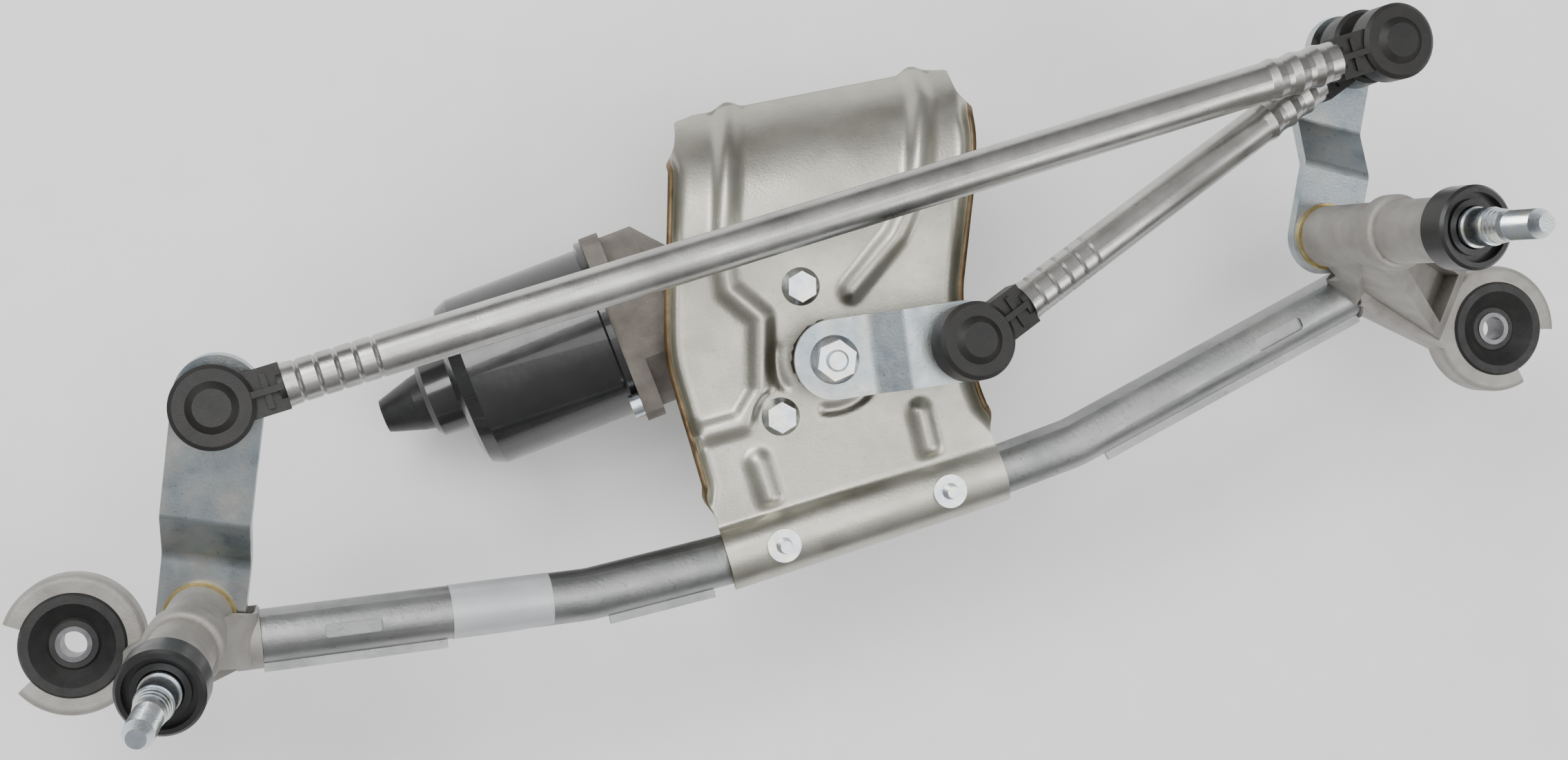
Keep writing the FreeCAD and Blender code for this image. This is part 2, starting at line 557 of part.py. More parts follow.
def make_bracket():
    thick, lip = size("sheet"), size("flange_height")
    bore, crown = size("saddle_inner"), size("saddle_inner") + size("sheet")
    a, b = (motor.inverse().multVec(TUBE_PATH[i]) for i in (2, 3))
    run = (b - a).normalize()
    plan = slab(BRACKET_PLAN, 6, -90, 60)
    inner = slab([(x + (thick if x < 0 else -thick), y * 1.4) for x, y in BRACKET_PLAN], 6, -90, 60)
    lips = strip(-thick, lip).common(plan).cut(inner).common(Part.makeBox(200, 124, 150, Vector(-100, -42, -90)))
    shape = strip(-thick, 0).common(plan).fuse(lips)
    for route in RIBS:
        shape = shape.fuse(strip(-thick / 2, 2.4).common(track(route, 4.4)).common(plan))
    saddle = rod(crown, a - run * 20, b + run * 20)
    span = Part.makeBox((b - a).Length - 4, 40, 40, Vector(2, -20, -3))
    span.Placement = Placement(a, Rotation(run, Vector(), Vector(0, 0, 1), "XZY"))
    shape = shape.fuse(saddle.common(span))
    for place in rivet_places:
        seat = Part.makeCylinder(6.8, crown)
        seat.Placement = motor.inverse() * place
        shape = shape.fuse(seat)
    shape = shape.cut(rod(bore, a - run * 20, b + run * 20))
    for bend, far in ((a, TUBE_PATH[1]), (b, TUBE_PATH[4])):
        shape = shape.cut(rod(bore, bend, motor.inverse().multVec(far)))
    below = Part.makeBox(200, 20, 40, Vector(-40, -40.01, -43))
    below.Placement = Placement(a, Rotation(run, Vector(), Vector(0, 0, 1), "XZY"))
    shape = shape.cut(below).cut(Part.makeCylinder(size("hub_opening"), 40, Vector(0, 0, -20)))
    for angle in BOLT_ANGLES:
        place = shifted(turn=angle) * shifted(x=size("bolt_circle"))
        shape = shape.cut(Part.makeCylinder(3.3, 30, place.Base - Vector(0, 0, 15)))
        shape = shape.cut(Part.makeCylinder(8.2, 10, place.Base + Vector(0, 0, 0.01)))
    return formed(sorted(shape.Solids, key=lambda solid: solid.Volume)[-1])


BOLT_ANGLES = (100, 220, 340)
keep("motor_bracket", make_bracket(), motor)


# ---------------------------------------------------------------- rivets that clamp the bracket on the tube
surface = size("saddle_inner") + size("sheet")
keep("bracket_rivets", group(*[primitive("Cone", place * shifted(z=surface + 1.44), Radius1=3.1, Radius2=2.2,
                                         Height=5.5) for place in rivet_places]))
keep("rivet_washers", group(*[cylinder(6.2, 1.4, place * shifted(z=surface + 0.02)) for place in rivet_places]))


# ---------------------------------------------------------------- output side
def flange_hex(across, flange, height, where):
    """Hexagon with a round flange under it."""
    hexagon = primitive("Prism", where, Circumradius=across / math.sqrt(3), Height=height)
    hexagon.Polygon = 6
    skirt = primitive("Cone", where, Radius1=flange, Radius2=across / 2, Height=2.4)
    return fuse(hexagon, skirt)


bolt_places = [shifted(turn=angle) * shifted(x=size("bolt_circle"), turn=angle) for angle in BOLT_ANGLES]
keep("motor_bolts", group(*[fuse(flange_hex(10, 7.1, 6.2, place * shifted(z=0.05)),
                                 cylinder(2.9, 16, place * shifted(z=-14))) for place in bolt_places]), motor)
keep("crank_nut", cut(flange_hex(13, 8.9, 8, shifted(z=size("crank_top") + 0.02, turn=12)),
                      cylinder("thread_radius - 1", 40)), motor)
keep("output_shaft", turned([(0, -43), ("output_radius", -43), ("output_radius", 14), (5, 17.2), (5, 20.5),
                             (4, 21), (4, 30), (3.2, 31), (0, 31)]), motor)
keep("output_bush", tube(8, "output_radius + fit", 30), motor * shifted(z=-18))
keep("output_seal", tube(13.6, "output_radius + 0.05", 2.6), motor * shifted(z=size("nose_top") + 0.1))
teeth = 44
gear = []
for step in range(2 * teeth):
    reach = "wheel_radius" if step % 4 in (0, 1) else "wheel_radius - 2"
    turn_angle = math.pi * step / teeth
    gear.append(("(%s) * %.5f" % (reach, math.cos(turn_angle)), "(%s) * %.5f" % (reach, math.sin(turn_angle))))
keep("worm_wheel", cut(plate(gear, "wheel_thick"), cylinder("output_radius", 40, shifted(z=-10))),
     motor * shifted(z=-40))
keep("park_disc", cut(tube(22, "output_radius", 0.8), box(14, 10, 5, shifted(x=12, y=-5, z=-2))),
     motor * shifted(z=-41))


# ---------------------------------------------------------------- gear housing, cover and connector
def make_gear_housing():
    wall, outer = size("case_wall"), size("case_radius")
    low, high = size("case_bottom"), size("case_top")
    out = Part.makeCylinder(outer, high - low, Vector(0, 0, low))
    room = Part.makeCylinder(outer - wall, high - low - wall, Vector(0, 0, low - 0.01))
    nose = Part.makeCylinder(size("nose_radius"), size("nose_top") - high + 2, Vector(0, 0, high - 2))
    out = out.fuse([nose] + [Part.makeCylinder(7, -size("sheet") - high + 1.9,
                                               (shifted(turn=a) * shifted(x=size("bolt_circle"))).Base
                                               + Vector(0, 0, high - 2)) for a in BOLT_ANGLES])
    bay = Part.makeCylinder(13, 92, Vector(0, 0, -28))
    bell = Part.makeCone(16, 34, 16, Vector(0, 0, 34)).fuse(Part.makeCylinder(34, 13, Vector(0, 0, 50)))
    flange = Part.makeBox(72, 72, 7, Vector(-36, -36, 62.9))
    flange = pick(flange, lambda edge: abs(edge.BoundBox.ZLength - 7) < 0.1, 14)
    body = bay.fuse([bell, flange])
    inside = Part.makeCylinder(9, 80, Vector(0, 0, -24)).fuse(Part.makeCylinder(30, 20, Vector(0, 0, 50)))
    for shape in (body, inside):
        shape.Placement = worm_local
    above = Part.makeBox(300, 300, 60, Vector(-150, -150, -size("sheet") - 0.6))
    below = Part.makeBox(300, 300, 60, Vector(-150, -150, low - 40))
    body = body.cut(above)
    shape = out.fuse(body)
    for tool in (room, inside, Part.makeCylinder(8, 90, Vector(0, 0, -60))):
        shape = shape.cut(tool)
    for a in BOLT_ANGLES:
        base = (shifted(turn=a) * shifted(x=size("bolt_circle"))).Base
        shape = shape.cut(Part.makeCylinder(2.95, 14, base + Vector(0, 0, -14.5)))
    near = Part.makeCylinder(outer + 0.5, 30, Vector(0, 0, low - 30))
    return formed(shape.cut(near).removeSplitter())


keep("gear_housing", make_gear_housing(), motor)
cover_plate = cylinder("case_radius", 3, shifted(z=-3.1))
cover_box = box(24, 40, 12, shifted(x=14, y=-30, z=-13))
keep("gear_cover", cut(fuse(cover_plate, cover_box), box(16, 30, 8, shifted(x=24, y=-25, z=-11))),
     motor * shifted(z=size("case_bottom")))
terminals = [box(13, 0.8, 2.4, shifted(x=24, y=-22 + 6 * step, z=-8)) for step in range(5)]
keep("connector_terminals", group(*terminals), motor * shifted(z=size("case_bottom")))
keep("cover_screws", group(*[cylinder(3.2, 1.8, shifted(turn=angle) * shifted(x=31, z=-5))
                             for angle in (50, 110, 170, 230)]), motor * shifted(z=size("case_bottom")))

# ---------------------------------------------------------------- motor can and magnets
keep("motor_yoke", turned([
    ("can_radius - can_wall", "can_start"), (35.4, "can_start"), (35.4, "can_start + 2.4"),
    ("can_radius", "can_start + 3.2"), ("can_radius", "can_end - 7"), ("can_radius - 2", "can_end - 2"),
    ("can_radius - 7", "can_end"), (17, "can_end"), (15.5, "can_end + 1.2"), (15, "can_end + 11"),
    (13.2, "can_end + 13"), (11.4, "can_end + 13"), (9, "can_end + 10.5"), (9, "can_end - 1.8"),
    ("can_radius - 8", "can_end - 1.8"),
    ("can_radius - can_wall - 1.6", "can_end - 3.6"), ("can_radius - can_wall", "can_end - 8")]), worm)
keep("drain_nozzle", turned([(0, "can_end + 11"), (9, "can_end + 11"), (11.2, "can_end + 13.1"),
                             (10.4, "can_end + 17"), (7, "can_end + 28"), (6.3, "can_end + 30"),
                             (4, "can_end + 30"), (4, "can_end + 16"), (0, "can_end + 16")]), worm)
keep("yoke_screws", group(*[cylinder(4.3, 4, shifted(x=x, y=y, z=70))
                            for x, y in ((28.6, 28.6), (-28.6, -28.6))]), worm)
magnet_gap = box(80, 16, 60, shifted(x=-40, y=-8, z=70))
magnet_ring = tube("can_radius - can_wall - 0.05", "core_radius + 1", 42, shifted(z=78))
keep("field_magnets", cut(magnet_ring, magnet_gap), worm)
keep("brush_card", cut(tube(29.8, 13, 3, shifted(z=57)), box(10, 7, 9, shifted(x=12, y=-3.5, z=55))), worm)
keep("brushes", group(box(9, 6, 5, shifted(x=10.4, y=-3, z=61)),
                      box(9, 6, 5, shifted(x=-19.4, y=-3, z=61))), worm)
keep("armature_bearings", group(tube(8.9, "motor_shaft + fit", 7, shifted(z=-22)),
                                tube(8.9, "motor_shaft + fit", 7, shifted(z=126))), worm)

# ---------------------------------------------------------------- armature
worm_profile = [(0, -22), ("motor_shaft", -22), ("motor_shaft", -14.5)]
for step in range(9):
    worm_profile += [("worm_radius - 1.6", "%.2f" % (-14 + 3.2 * step)),
                     ("worm_radius", "%.2f" % (-12.4 + 3.2 * step))]
worm_profile += [("motor_shaft", 15.5), ("motor_shaft", 134), (0, 134)]
keep("armature_shaft", turned(worm_profile), worm)
keep("commutator", tube(10, "motor_shaft", 12, shifted(z=58)), worm)
keep("armature_core", tube("core_radius", "motor_shaft", 34, shifted(z=82)), worm)
keep("armature_windings", group(tube(20, "motor_shaft", 8, shifted(z=73.8)),
                                tube(20, "motor_shaft", 7, shifted(z=116.2))), worm)


# ---------------------------------------------------------------- blank label on the tube
def make_label():
    a, b = TUBE_PATH[0], TUBE_PATH[1]
    run = (b - a).normalize()
    radius = size("tube_radius")
    start = a + run * 66
    sleeve = rod(radius + 0.25, start, start + run * 36).cut(rod(radius + 0.02, start - run, start + run * 40))
    keep_side = Part.makeBox(60, 30, 30, Vector(start.x - 10, start.y - 12, start.z - 3))
    return formed(sleeve.common(keep_side))


keep("blank_label", make_label())

# ---------------------------------------------------------------- check and export
doc.recompute()
bad = [item.Name for item in doc.Objects if {"Invalid", "Error"} & set(item.State)]
for piece in pieces:
    if piece.Shape.isNull() or not piece.Shape.isValid():
        bad.append(piece.Label)
if bad:
    raise RuntimeError("these failed: " + ", ".join(bad))
for piece in pieces:
    piece.Shape.exportStep("parts/%s.step" % piece.Label)
    box_now = piece.Shape.BoundBox
    print("%-24s %2d solids %10.1f mm3  x %.1f..%.1f y %.1f..%.1f z %.1f..%.1f" % (
        piece.Label, len(piece.Shape.Solids), piece.Shape.Volume, box_now.XMin, box_now.XMax, box_now.YMin,
        box_now.YMax, box_now.ZMin, box_now.ZMax))
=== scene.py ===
import json
import math

import bpy
from mathutils import Matrix, Vector


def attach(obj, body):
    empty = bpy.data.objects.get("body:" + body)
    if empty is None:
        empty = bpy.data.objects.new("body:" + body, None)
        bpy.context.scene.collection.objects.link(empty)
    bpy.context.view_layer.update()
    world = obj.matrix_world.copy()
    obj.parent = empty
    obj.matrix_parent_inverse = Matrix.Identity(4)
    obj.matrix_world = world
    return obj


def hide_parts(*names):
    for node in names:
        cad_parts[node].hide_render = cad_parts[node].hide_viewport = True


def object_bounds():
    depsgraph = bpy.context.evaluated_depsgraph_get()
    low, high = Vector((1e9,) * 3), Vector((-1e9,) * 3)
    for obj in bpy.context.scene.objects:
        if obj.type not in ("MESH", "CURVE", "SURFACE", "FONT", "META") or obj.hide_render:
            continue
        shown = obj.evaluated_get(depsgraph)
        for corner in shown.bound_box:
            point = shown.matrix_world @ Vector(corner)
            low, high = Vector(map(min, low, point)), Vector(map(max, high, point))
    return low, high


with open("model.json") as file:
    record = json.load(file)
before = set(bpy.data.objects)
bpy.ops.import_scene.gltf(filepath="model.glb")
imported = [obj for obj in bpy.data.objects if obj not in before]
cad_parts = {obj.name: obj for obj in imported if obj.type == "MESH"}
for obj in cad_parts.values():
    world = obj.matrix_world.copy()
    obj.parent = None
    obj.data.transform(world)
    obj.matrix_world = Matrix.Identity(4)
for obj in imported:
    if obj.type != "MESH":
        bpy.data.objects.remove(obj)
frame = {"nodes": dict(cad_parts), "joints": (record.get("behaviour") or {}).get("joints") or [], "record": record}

# Lengths named here are millimetres and are scaled by MM; places given to Blender are metres.
MM = 0.001
CAD_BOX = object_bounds()
NODES = frame["nodes"]
JOINTS = {joint["name"]: joint for joint in frame["joints"]}
SLOT_OF = {row["node"]: row["material_slot"] for row in frame["record"]["subparts"]}


# ---------------------------------------------------------------- camera, light and floor
CAMERA_PLACE = (-0.1587, 0.0851, 0.7764)
CAMERA_RIGHT = (0.9606, -0.1968, 0.1961)
CAMERA_BACK = (-0.1876, 0.0589, 0.9805)
LIGHT_AIM = (0, 0.05, 0)
# name, place, size, power
LIGHTS = [
    ("key", (-0.5, 0.75, 1.1), (0.9, 0.5), 13),
    ("fill", (0.9, -0.5, 1.0), (0.8, 0.6), 6),
    ("top", (0.1, 0.1, 1.6), (1.2, 0.8), 9),
]


def make_camera():
    """A camera above the wiper spindles, a little left of centre, looking down on the frame."""
    right = Vector(CAMERA_RIGHT).normalized()
    back = Vector(CAMERA_BACK).normalized()
    up = back.cross(right).normalized()
    right = up.cross(back)
    data = bpy.data.cameras.new("camera")
    data.sensor_width = 36
    data.lens = 49.9
    data.clip_start = 0.05
    camera = bpy.data.objects.new("camera", data)
    turn = Matrix((right, up, back)).transposed().to_4x4()
    camera.matrix_world = Matrix.Translation(CAMERA_PLACE) @ turn
    bpy.context.collection.objects.link(camera)
    bpy.context.scene.camera = camera


def area_light(name, place, size, power):
    data = bpy.data.lights.new(name, "AREA")
    data.shape = "RECTANGLE"
    data.size, data.size_y = size
    data.energy = power
    light = bpy.data.objects.new(name, data)
    aim = (Vector(LIGHT_AIM) - Vector(place)).to_track_quat("-Z", "Y")
    light.matrix_world = Matrix.Translation(place) @ aim.to_matrix().to_4x4()
    bpy.context.collection.objects.link(light)


def make_studio():
    """A sky that is grey at the horizon and white overhead, and three soft lights."""
    world = bpy.data.worlds.new("studio")
    world.use_nodes = True
    tree = world.node_tree
    sky = tree.nodes["Background"]
    coords = tree.nodes.new("ShaderNodeTexCoord")
    split = tree.nodes.new("ShaderNodeSeparateXYZ")
    ramp = tree.nodes.new("ShaderNodeValToRGB")
    horizon, zenith = ramp.color_ramp.elements
    horizon.position = 0.0
    horizon.color = (0.16, 0.165, 0.17, 1)
    zenith.position = 0.9
    zenith.color = (1.0, 1.0, 1.0, 1)
    tree.links.new(coords.outputs["Generated"], split.inputs[0])
    tree.links.new(split.outputs["Z"], ramp.inputs[0])
    tree.links.new(ramp.outputs["Color"], sky.inputs["Color"])
    sky.inputs["Strength"].default_value = 0.62
    bpy.context.scene.world = world
    for name, place, size, power in LIGHTS:
        area_light(name, place, size, power)


def make_floor():
    """White paper just under the lowest point of the part."""
    half, gap = 6, 0.002
    corners = [(-half, -half, 0), (half, -half, 0), (half, half, 0), (-half, half, 0)]
    mesh = bpy.data.meshes.new("floor")
    mesh.from_pydata(corners, [], [(0, 1, 2, 3)])
    floor = bpy.data.objects.new("floor", mesh)
    floor.location.z = CAD_BOX[0][2] - gap
    bpy.context.collection.objects.link(floor)
    paper = surface("floor_paper", (0.9, 0.9, 0.9), (0.94, 0.94, 0.94), 0, (0.8, 0.9), bump=0.02)
    shader = paper.node_tree.nodes["Principled BSDF"]
    shader.inputs["Emission Color"].default_value = (1, 1, 1, 1)
    shader.inputs["Emission Strength"].default_value = 0.16
    mesh.materials.append(paper)


# ---------------------------------------------------------------- materials
BLACK = (0.012, 0.012, 0.012)
# One finish for each slot: blotches from dark to light, with an optional tint between them;
# rough is the range of roughness, speck the strength of the small dark spots.
FINISHES = {
    "galvanised_tube": dict(
        dark=(0.22, 0.225, 0.22), tint=(0.29, 0.30, 0.295), light=(0.37, 0.375, 0.365), metallic=1,
        rough=(0.34, 0.5), blotch=30, grain=700, bump=0.25, speck=0.4, speck_colour=(0.08, 0.075, 0.07)),
    "bracket_zinc": dict(
        dark=(0.36, 0.35, 0.295), light=(0.53, 0.52, 0.46), metallic=1,
        rough=(0.30, 0.44), blotch=22, bump=0.16, speck=0.22, speck_colour=(0.16, 0.12, 0.07)),
    "cast_alloy": dict(
        dark=(0.30, 0.285, 0.265), light=(0.46, 0.44, 0.415), metallic=0.55,
        rough=(0.5, 0.68), grain=1500, bump=0.5, speck=0.15, speck_colour=(0.16, 0.14, 0.12)),
    "gear_casting": dict(
        dark=(0.13, 0.115, 0.10), light=(0.24, 0.215, 0.19), metallic=0.5,
        rough=(0.5, 0.7), grain=1500, bump=0.5),
    "bright_zinc": dict(
        dark=(0.46, 0.50, 0.53), tint=(0.55, 0.60, 0.66), light=(0.70, 0.68, 0.58), metallic=1,
        rough=(0.16, 0.32), blotch=120, grain=1600, bump=0.12, speck=0.1),
    "lever_zinc": dict(
        dark=(0.22, 0.27, 0.31), tint=(0.36, 0.41, 0.44), light=(0.50, 0.50, 0.48), metallic=1,
        rough=(0.28, 0.48), blotch=55, grain=1100, bump=0.2, speck=0.4, speck_colour=(0.08, 0.08, 0.085)),
    "rod_steel": dict(
        dark=(0.34, 0.335, 0.32), light=(0.54, 0.535, 0.515), metallic=1,
        rough=(0.24, 0.36), blotch=40, grain=1300, bump=0.12, speck=0.15, speck_colour=(0.16, 0.12, 0.08)),
    "socket_plastic": dict(
        dark=(0.009, 0.0085, 0.008), light=(0.017, 0.0155, 0.014), metallic=0,
        rough=(0.4, 0.54), blotch=80, grain=2200, bump=0.3),
    "cap_plastic": dict(
        dark=BLACK, light=(0.022, 0.022, 0.022), metallic=0, rough=(0.26, 0.4), blotch=90, grain=1800),
    "rubber": dict(
        dark=BLACK, light=(0.03, 0.029, 0.028), metallic=0,
        rough=(0.45, 0.66), blotch=90, grain=2000, bump=0.35, speck=0.1, speck_colour=(0.1, 0.1, 0.1)),
    "black_paint": dict(
        dark=(0.008, 0.008, 0.008), light=(0.018, 0.018, 0.019), metallic=0,
        rough=(0.18, 0.3), blotch=50, grain=500, bump=0.12, coat=0.4),
    "ball_steel": dict(
        dark=(0.38, 0.38, 0.38), light=(0.6, 0.6, 0.6), metallic=1,
        rough=(0.14, 0.26), blotch=100, grain=1500, bump=0.06),
    "washer_gold": dict(
        dark=(0.42, 0.31, 0.10), light=(0.66, 0.55, 0.28), metallic=1,
        rough=(0.22, 0.4), blotch=120, grain=1500, bump=0.1),
    "spring_steel": dict(
        dark=(0.12, 0.12, 0.13), light=(0.26, 0.26, 0.27), metallic=1,
        rough=(0.3, 0.44), blotch=100, grain=1500, bump=0.1),
    "bronze": dict(
        dark=(0.30, 0.19, 0.09), light=(0.48, 0.33, 0.17), metallic=1,
        rough=(0.4, 0.56), blotch=120, grain=2000, bump=0.3),
    "wheel_plastic": dict(
        dark=(0.60, 0.57, 0.48), light=(0.72, 0.70, 0.62), metallic=0,
        rough=(0.4, 0.5), blotch=80, grain=1500, bump=0.1),
    "core_steel": dict(
        dark=(0.14, 0.14, 0.14), light=(0.28, 0.28, 0.28), metallic=1,
        rough=(0.34, 0.5), blotch=90, grain=1500, bump=0.2, stretch=(1, 1, 12)),
    "copper": dict(
        dark=(0.42, 0.17, 0.07), light=(0.68, 0.34, 0.18), metallic=1,
        rough=(0.24, 0.4), blotch=200, grain=1600, bump=0.4),
    "brush_carbon": dict(
        dark=(0.03, 0.03, 0.03), light=(0.08, 0.08, 0.08), metallic=0.2,
        rough=(0.5, 0.7), blotch=120, grain=1600, bump=0.3),
    "label_film": dict(
        dark=(0.50, 0.51, 0.53), light=(0.60, 0.61, 0.62), metallic=0.25, rough=(0.32, 0.44), bump=0.06),
}
CUT_EDGE = dict(
    dark=(0.10, 0.065, 0.03), light=(0.26, 0.19, 0.11), metallic=0.85,
    rough=(0.4, 0.6), blotch=70, bump=0.3, speck=0.5)


def surface(name, dark, light, metallic, rough, blotch=60, grain=900, bump=0.15, speck=0.0,
            speck_colour=(0.05, 0.04, 0.03), stretch=(1, 1, 1), tint=None, coat=0.0):
    """Colour blotches, dark specks, uneven gloss and a fine grain, all in the object's own space."""
    mat = bpy.data.materials.new(name)
    mat.use_nodes = True
    tree = mat.node_tree
    new, link = tree.nodes.new, tree.links.new
    shader = tree.nodes["Principled BSDF"]
    shader.inputs["Metallic"].default_value = metallic
    shader.inputs["Coat Weight"].default_value = coat
    coords = new("ShaderNodeTexCoord").outputs["Object"]
    mapping = new("ShaderNodeMapping")
    mapping.inputs["Scale"].default_value = stretch
    link(coords, mapping.inputs["Vector"])

    def noise(scale, detail, source=mapping.outputs["Vector"], roughness=0.6):
        node = new("ShaderNodeTexNoise")
        node.inputs["Scale"].default_value = scale
        node.inputs["Detail"].default_value = detail
        node.inputs["Roughness"].default_value = roughness
        link(source, node.inputs["Vector"])
        return node.outputs["Fac"]

    def ramp(source, stops):
        node = new("ShaderNodeValToRGB")
        first, last = node.color_ramp.elements
        first.position, first.color = stops[0][0], (*stops[0][1], 1)
        last.position, last.color = stops[-1][0], (*stops[-1][1], 1)
        for position, colour in stops[1:-1]:
            node.color_ramp.elements.new(position).color = (*colour, 1)
        link(source, node.inputs["Fac"])
        return node.outputs["Color"]

    stops = [(0.28, dark), (0.42, tint), (0.7, light)] if tint else [(0.3, dark), (0.7, light)]
    colour = ramp(noise(blotch, 5), stops)
    if speck:
        spots = ramp(noise(grain * 0.45, 3, coords, 0.75), [(0.62, (0, 0, 0)), (0.70, (1, 1, 1))])
        strength = new("ShaderNodeMath")
        strength.operation = "MULTIPLY"
        strength.inputs[1].default_value = speck
        link(spots, strength.inputs[0])
        mix = new("ShaderNodeMix")
        mix.data_type = "RGBA"
        link(strength.outputs[0], mix.inputs["Factor"])
        link(colour, mix.inputs["A"])
        mix.inputs["B"].default_value = (*speck_colour, 1)
        colour = mix.outputs["Result"]
    link(colour, shader.inputs["Base Color"])
    gloss = new("ShaderNodeMapRange")
    gloss.inputs["From Min"].default_value = 0.3
    gloss.inputs["From Max"].default_value = 0.7
    gloss.inputs["To Min"].default_value, gloss.inputs["To Max"].default_value = rough
    link(noise(blotch * 2.3, 4), gloss.inputs["Value"])
    link(gloss.outputs["Result"], shader.inputs["Roughness"])
    texture = new("ShaderNodeBump")
    texture.inputs["Strength"].default_value = bump
    texture.inputs["Distance"].default_value = 0.0004
    link(noise(grain, 6), texture.inputs["Height"])
    link(texture.outputs["Normal"], shader.inputs["Normal"])
    return mat


# ---------------------------------------------------------------- carried-over CAD nodes
SOCKET_BEVEL = 0.5
BEVELS = {
    "left_lever": 0.45, "right_lever": 0.45, "crank_arm": 0.45,
    "left_pivot_housing": 0.8, "right_pivot_housing": 0.8, "gear_housing": 0.8, "motor_yoke": 0.6,
    "left_cap": 0.4, "right_cap": 0.4,
}
BEVEL_ANGLE = math.radians(32)


def finish_nodes(materials):
    """Every carried-over node takes its slot's material, and the larger ones slightly softened edges."""
    for name, node in NODES.items():
        node.data.materials.clear()
        node.data.materials.append(materials[SLOT_OF[name]])
        width = SOCKET_BEVEL if "socket" in name else BEVELS.get(name, 0)
        if width:
            bevel = node.modifiers.new("softened", "BEVEL")
            bevel.width = width * MM
            bevel.segments = 2
            bevel.limit_method = "ANGLE"
            bevel.angle_limit = BEVEL_ANGLE
            bevel.use_clamp_overlap = True
            bevel.harden_normals = False


# ---------------------------------------------------------------- the pressed motor bracket
# The bracket's own frame has the output axis at the origin and the flat's top face at z = 0.
MOTOR_POINT = Vector((0.0091, 0.0429, -0.007))
TUBE_ENDS = (Vector((-0.043, -0.023, -0.015)), Vector((0.066, -0.012, -0.009)))
# each side of the plan as (y, x)
LEFT_SIDE = [(-70, -50), (-24, -54), (13, -57.5), (31, -54), (98, -36.5)]
RIGHT_SIDE = [(-70, 57), (-55, 56), (-22, 50), (11, 50.4), (48, 61.5), (71, 68.5), (98, 68)]
SIDE_ROUNDING = (-6, -3, 0, 3, 6)
# the flat, and the upper end that curls back
FLAT_END, CURL_RADIUS, CURL_TURN = 50, 55, math.radians(61)
SHEET, HUB, CORNER_TRIM, COLUMNS = 2.2, 13.2, 7, 78
SADDLE_ROWS, FLAT_ROWS, CURL_ROWS = 16, 96, 46
# saddle round the tube, and the soft valley where it meets the flat
SADDLE, SADDLE_TURN, SADDLE_SOFT, SADDLE_FADE = 12.0, math.radians(96), 3.0, (12, 17)
SADDLE_EDGE, FALL_START, FALL_HEIGHT, FALL_SLOPE = 0.97, 11.6, 2.9, 6
# turned-up side lips
LIP_RADIUS, LIP_LENGTH, LIP_TURN, LIP_STEPS = 4.0, 8.5, math.radians(78), 8
LIP_INSET, LIP_RISES, LIP_ENDS = 4.4, (-46, -32), (74, 90)
FLAT_INSET, FLAT_LIP = 0.4, 0.6
# stiffening beads, as routes in plan
BEADS = [[(-15, 104), (-31, 43), (-31.3, 31.6), (-21.5, 19.3), (-27, -7.4), (-36, -17.3), (-60, -19)],
         [(55, 106), (54.7, 87), (44.4, 55), (33.4, 39.2), (13.2, 22.7)],
         [(-33, -32.6), (-31.3, -47)], [(29.7, -26.7), (30.4, -42)]]
BEAD_HEIGHT, BEAD_HALF_WIDTH = 2.7, 6.2
# sunk arcs round the hub, as bearings in degrees where each fades in and out
ARCS = [(150, 162, 203, 215), (245, 257, 303, 315)]
ARC_DEPTH, ARC_RADIUS, ARC_HALF_WIDTH = 1.2, 19.5, 3.2
# the pressing is level inside the first distance and fully raised past the second
BOLT_CIRCLE, BOLT_ANGLES, BOLT_SEAT, HUB_SEAT = 28, (100, 220, 340), (8.0, 11.5), (14, 17)


def smooth(low, high, value):
    share = min(max((value - low) / (high - low), 0), 1)
    return share * share * (3 - 2 * share)


def side_at(stops, y):
    """x of a side at y: straight between its stops, averaged over a few millimetres to round its corners."""
    def straight(at):
        for (y0, x0), (y1, x1) in zip(stops, stops[1:]):
            if at <= y1:
                return x0 + (x1 - x0) * max(at - y0, 0) / (y1 - y0)
        return stops[-1][1]
    return sum(straight(y + step) for step in SIDE_ROUNDING) / len(SIDE_ROUNDING)


def distance(point, route):
    """Distance from a plan point to the nearest leg of a route."""
    nearest = math.inf
    for start, finish in zip(route, route[1:]):
        start, finish = Vector(start), Vector(finish)
        leg = finish - start
        share = min(max((point - start).dot(leg) / leg.length_squared, 0), 1)
        nearest = min(nearest, (point - start - leg * share).length)
    return nearest


def motor_frame():
    """From the bracket's own frame, in millimetres, to the row frame, in metres."""
    z = Vector(JOINTS["crank_turn"]["axis"]).normalized()
    x = (Vector((1, 0, 0)) - z * z.x).normalized()
    turn = Matrix((x, z.cross(x), z)).transposed().to_4x4()
    return Matrix.Translation(MOTOR_POINT) @ turn @ Matrix.Scale(MM, 4)


def relief(x, y):
    """Height above the flat: rounded beads, sunk arcs round the hub, and level seats for the bolts."""
    point = Vector((x, y))
    height = 0.0
    for route in BEADS:
        off = distance(point, route) / BEAD_HALF_WIDTH
        if off < 1:
            height = max(height, BEAD_HEIGHT * (1 - off * off) ** 2)
    radius = point.length
    bearing = math.degrees(math.atan2(y, x)) % 360
    sunk = 1 - ((radius - ARC_RADIUS) / ARC_HALF_WIDTH) ** 2
    if sunk > 0:
        shown = max(smooth(a, b, bearing) - smooth(c, d, bearing) for a, b, c, d in ARCS)
        height -= ARC_DEPTH * sunk * sunk * shown
    for angle in map(math.radians, BOLT_ANGLES):
        seat = Vector((math.cos(angle), math.sin(angle))) * BOLT_CIRCLE
        height *= smooth(*BOLT_SEAT, (point - seat).length)
    return height * smooth(*HUB_SEAT, radius)


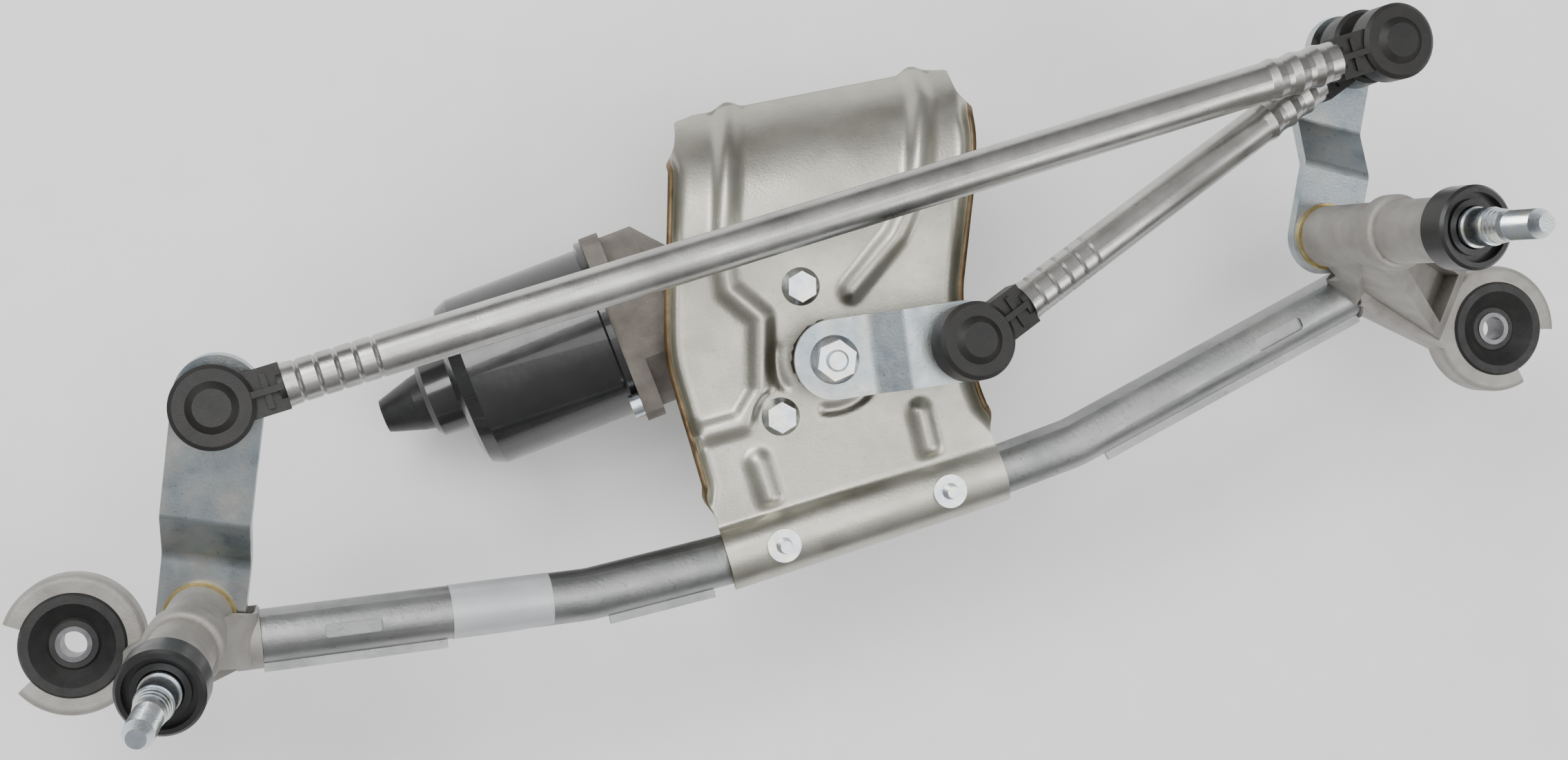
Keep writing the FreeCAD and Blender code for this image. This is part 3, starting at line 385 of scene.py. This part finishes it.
def saddle_height(tube_z, off):
    """Height of the saddle at a distance off the tube's axis; past its edge it falls away steeply."""
    if off < SADDLE * SADDLE_EDGE:
        return tube_z + math.sqrt(SADDLE ** 2 - off ** 2)
    return tube_z + (FALL_HEIGHT - (off - FALL_START) * FALL_SLOPE)


def bracket_point(x, row, tube_start, tube_run):
    """Where a column meets a row of the pressing, and the direction that its face looks."""
    kind, value = row
    tube = tube_start + tube_run * (x - tube_start.x)
    if kind == "saddle":
        out = Vector((0, -math.sin(value), math.cos(value)))
        return tube + out * SADDLE, out
    if kind == "curl":
        out = Vector((0, math.sin(value), math.cos(value)))
        y = FLAT_END + CURL_RADIUS * math.sin(value)
        return Vector((x, y, CURL_RADIUS * (math.cos(value) - 1))) + out * relief(x, y), out
    off = (FLAT_END - tube.y) * value
    y = tube.y + off
    crown = saddle_height(tube.z, off)
    level = relief(x, y) * smooth(*SADDLE_FADE, off)
    overlap = max(SADDLE_SOFT - abs(crown - level), 0) / SADDLE_SOFT
    z = max(crown, level) + overlap * overlap * SADDLE_SOFT / 4
    return Vector((x, y, z)), Vector((0, 0, 1))


def lip_profile(fade):
    """(outward, upward) steps of a side lip; with fade 0 it lies flat and nearly vanishes."""
    bend = LIP_TURN * fade
    profile = []
    for step in range(1, LIP_STEPS + 1):
        along = (LIP_LENGTH * fade + FLAT_LIP) * step / LIP_STEPS
        turned = min(along / LIP_RADIUS, bend)
        past = max(along - bend * LIP_RADIUS, 0)
        profile.append((LIP_RADIUS * math.sin(turned) + past * math.cos(bend),
                        LIP_RADIUS * (1 - math.cos(turned)) + past * math.sin(bend)))
    return profile


def bracket_line(row, middle_y):
    """(x, height) of every point on one row, from one lip's rim to the other's."""
    far_end = smooth(CURL_TURN * 0.93, CURL_TURN, row[1]) if row[0] == "curl" else 0
    trim = CORNER_TRIM * far_end ** 2
    fade = smooth(*LIP_RISES, middle_y) * (1 - smooth(*LIP_ENDS, middle_y))
    inset = LIP_INSET * fade + FLAT_INSET
    left = side_at(LEFT_SIDE, middle_y) + trim
    right = side_at(RIGHT_SIDE, middle_y) - trim
    inner = [left + inset + (right - left - 2 * inset) * step / COLUMNS for step in range(COLUMNS + 1)]
    lip = lip_profile(fade)
    line = [(inner[0] - out, up) for out, up in reversed(lip)]
    line += [(x, 0) for x in inner]
    return line + [(inner[-1] + out, up) for out, up in lip]


def clear_hub(point):
    """Points inside the hub's opening move out to its rim."""
    reach = point.xy.length
    if reach < HUB:
        scale = HUB / max(reach, 0.01)
        point.x, point.y = point.x * scale, point.y * scale


def make_bracket(materials):
    place = motor_frame()
    tube_start, tube_end = (place.inverted() @ end for end in TUBE_ENDS)
    tube_run = (tube_end - tube_start) / (tube_end.x - tube_start.x)
    rows = [("saddle", SADDLE_TURN * (1 - step / SADDLE_ROWS)) for step in range(SADDLE_ROWS)]
    rows += [("flat", step / FLAT_ROWS) for step in range(FLAT_ROWS)]
    rows += [("curl", CURL_TURN * step / CURL_ROWS) for step in range(CURL_ROWS + 1)]
    points = []
    for row in rows:
        middle_y = bracket_point(0, row, tube_start, tube_run)[0].y
        for x, up in bracket_line(row, middle_y):
            point, out = bracket_point(x, row, tube_start, tube_run)
            point = point + out * up
            if row[0] == "flat":
                clear_hub(point)
            points.append(point)
    count = COLUMNS + 1 + 2 * LIP_STEPS
    faces = []
    for r in range(len(rows) - 1):
        for c in range(count - 1):
            corner = r * count + c
            face = (corner, corner + 1, corner + count + 1, corner + count)
            middle = sum((points[i] for i in face), Vector()) / 4
            if middle.xy.length > HUB - 0.4 and any(points[i].xy.length > HUB + 0.01 for i in face):
                faces.append(face)
    mesh = bpy.data.meshes.new("bracket_pressing")
    mesh.from_pydata([place @ point for point in points], [], faces)
    mesh.validate()
    for polygon in mesh.polygons:
        polygon.use_smooth = True
    mesh.materials.append(materials["bracket_zinc"])
    mesh.materials.append(surface("bracket_cut_edge", **CUT_EDGE))
    pressing = bpy.data.objects.new("bracket_pressing", mesh)
    bpy.context.collection.objects.link(pressing)
    thick = pressing.modifiers.new("sheet", "SOLIDIFY")
    thick.thickness = SHEET * MM
    thick.offset = -1
    thick.material_offset_rim = 1
    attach(pressing, "frame")
    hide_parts("motor_bracket")


make_camera()
make_studio()
make_floor()
slot_materials = {name: surface(name, **finish) for name, finish in FINISHES.items()}
finish_nodes(slot_materials)
make_bracket(slot_materials)
